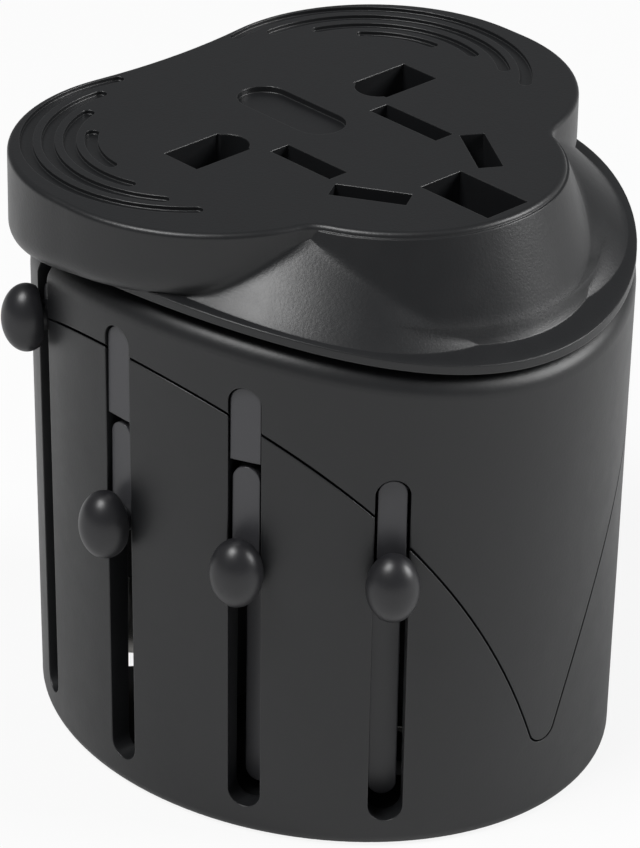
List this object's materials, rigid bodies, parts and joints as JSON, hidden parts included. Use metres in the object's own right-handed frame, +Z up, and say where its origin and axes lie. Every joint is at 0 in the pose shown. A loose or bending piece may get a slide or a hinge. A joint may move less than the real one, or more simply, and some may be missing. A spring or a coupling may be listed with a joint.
{
  "type": "travel adapter",
  "caption": "Oval travel adapter with a trefoil socket cap on top and sliding plugs for several countries that come out of its base.",
  "frame": {"origin": "centre of the flat base", "axes": "+Z up; +Y from the socket's earth hole to its line and neutral holes; +X from the socket's line hole to its neutral hole"},
  "size_m": [0.0581, 0.0592, 0.0593],
  "materials": {
    "black_shell": "fine satin texture",
    "knob_black": "satin",
    "grey_inner": "satin",
    "dark_inner": "matte",
    "brass": "stamped",
    "plated_pin": "bright plated",
    "steel": "zinc plated",
    "fuse_glass": "clear"
  },
  "bodies": {
    "case": {"socket_cap": "black_shell", "upper_shell": "black_shell", "lower_shell": "black_shell", "chassis": "grey_inner", "socket_block": "dark_inner", "line_contact": "brass", "neutral_contact": "brass", "line_bus": "brass", "neutral_bus": "brass", "fuse_tube": "fuse_glass", "fuse_caps": "steel", "fuse_clips": "brass", "case_screws": "steel", "cap_screws": "steel"},
    "eu_plug": {"eu_carriage": "dark_inner", "eu_slider": "grey_inner", "eu_knob": "knob_black", "eu_line_pin": "plated_pin", "eu_neutral_pin": "plated_pin", "eu_pin_sleeves": "black_shell", "eu_contacts": "brass"},
    "uk_plug": {"uk_carriage": "dark_inner", "uk_slider": "grey_inner", "uk_knob": "knob_black", "uk_line_pin": "plated_pin", "uk_neutral_pin": "plated_pin", "uk_earth_pin": "plated_pin", "uk_pin_sleeves": "black_shell", "uk_contacts": "brass"},
    "us_plug": {"us_carriage": "dark_inner", "us_slider": "grey_inner", "us_knob": "knob_black", "us_line_pin": "plated_pin", "us_neutral_pin": "plated_pin", "us_contacts": "brass"},
    "au_plug": {"au_carriage": "dark_inner", "au_slider": "grey_inner", "au_knob": "knob_black", "au_line_pin": "plated_pin", "au_neutral_pin": "plated_pin", "au_pin_sleeves": "black_shell", "au_contacts": "brass"}
  },
  "joints": [
    {"name": "eu_slide", "type": "slide", "parent": "case", "child": "eu_plug", "axis": [0, 0, -1], "range_m": [0, 0.0385]},
    {"name": "uk_slide", "type": "slide", "parent": "case", "child": "uk_plug", "axis": [0, 0, -1], "range_m": [0, 0.024]},
    {"name": "us_slide", "type": "slide", "parent": "case", "child": "us_plug", "axis": [0, 0, -1], "range_m": [0, 0.024]},
    {"name": "au_slide", "type": "slide", "parent": "case", "child": "au_plug", "axis": [0, 0, -1], "range_m": [0, 0.024]}
  ]
}
